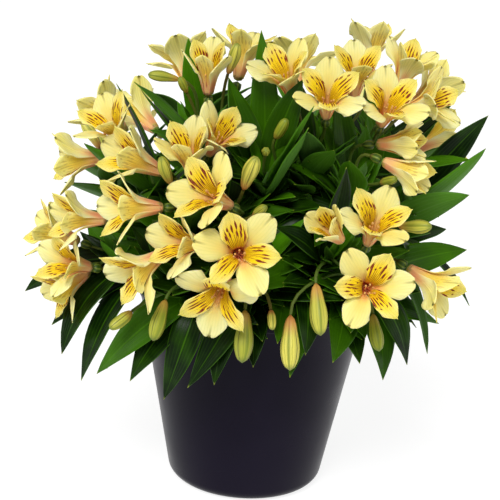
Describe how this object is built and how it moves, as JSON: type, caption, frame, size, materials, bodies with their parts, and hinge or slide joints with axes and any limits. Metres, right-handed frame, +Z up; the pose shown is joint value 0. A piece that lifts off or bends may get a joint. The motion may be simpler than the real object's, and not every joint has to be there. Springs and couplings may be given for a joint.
{
  "type": "potted peruvian lily",
  "caption": "Compact flowering Peruvian lily (Alstroemeria) in a plain tapered round pot: leafy stems with heads of yellow six-petalled blooms and buds.",
  "frame": {"origin": "centre of the pot's flat underside", "axes": "+Z up along the pot's axis, -Y towards the front of the plant as pictured, +X to its right"},
  "size_m": [0.3385, 0.3453, 0.366],
  "materials": {
    "pot": "satin dark plum-charcoal",
    "soil": "rough dark brown potting mix",
    "foliage": "satin deep green leaves, stalks and buds",
    "petals": "soft pale yellow petals"
  },
  "bodies": {
    "root": {"pot": "pot", "soil": "soil", "bloom_e1": "petals", "bloom_j2": "petals", "bloom_e2": "petals", "bloom_j1": "petals", "bloom_e3": "petals", "bloom_d3": "petals", "bloom_d1": "petals", "bloom_d2": "petals", "bloom_g1": "petals", "bloom_c1": "petals", "bloom_c2": "petals", "bloom_c3": "petals", "bloom_f2": "petals", "bloom_f3": "petals", "bloom_f1": "petals", "bloom_b1": "petals", "bloom_b2": "petals", "bloom_b3": "petals", "bloom_a1": "petals", "bloom_a2": "petals", "bloom_h2": "petals", "bloom_h1": "petals", "bloom_h4": "petals", "bloom_h3": "petals", "bloom_h5": "petals", "bloom_h7": "petals", "bloom_h6": "petals", "bloom_h8": "petals", "bloom_i1": "petals", "bloom_i2": "petals", "bloom_j3": "petals", "bloom_j5": "petals", "bloom_n1": "petals", "bloom_n2": "petals", "bloom_o1": "petals", "bloom_o2": "petals", "bloom_p1": "petals", "bloom_s1": "petals", "leafy_stem_a": "foliage", "leafy_stem_b": "foliage", "leafy_stem_c": "foliage", "leafy_stem_d": "foliage", "leafy_stem_e": "foliage", "leafy_stem_f": "foliage", "leafy_stem_g": "foliage", "leafy_stem_h": "foliage", "leafy_stem_i": "foliage", "leafy_stem_j": "foliage", "leafy_stem_k": "foliage", "leafy_stem_l": "foliage", "leafy_stem_m": "foliage", "leafy_stem_n": "foliage", "leafy_stem_o": "foliage", "leafy_stem_p": "foliage", "leafy_stem_q": "foliage", "leafy_stem_r": "foliage", "leafy_stem_s": "foliage", "leafy_stem_t": "foliage"}
  },
  "joints": []
}
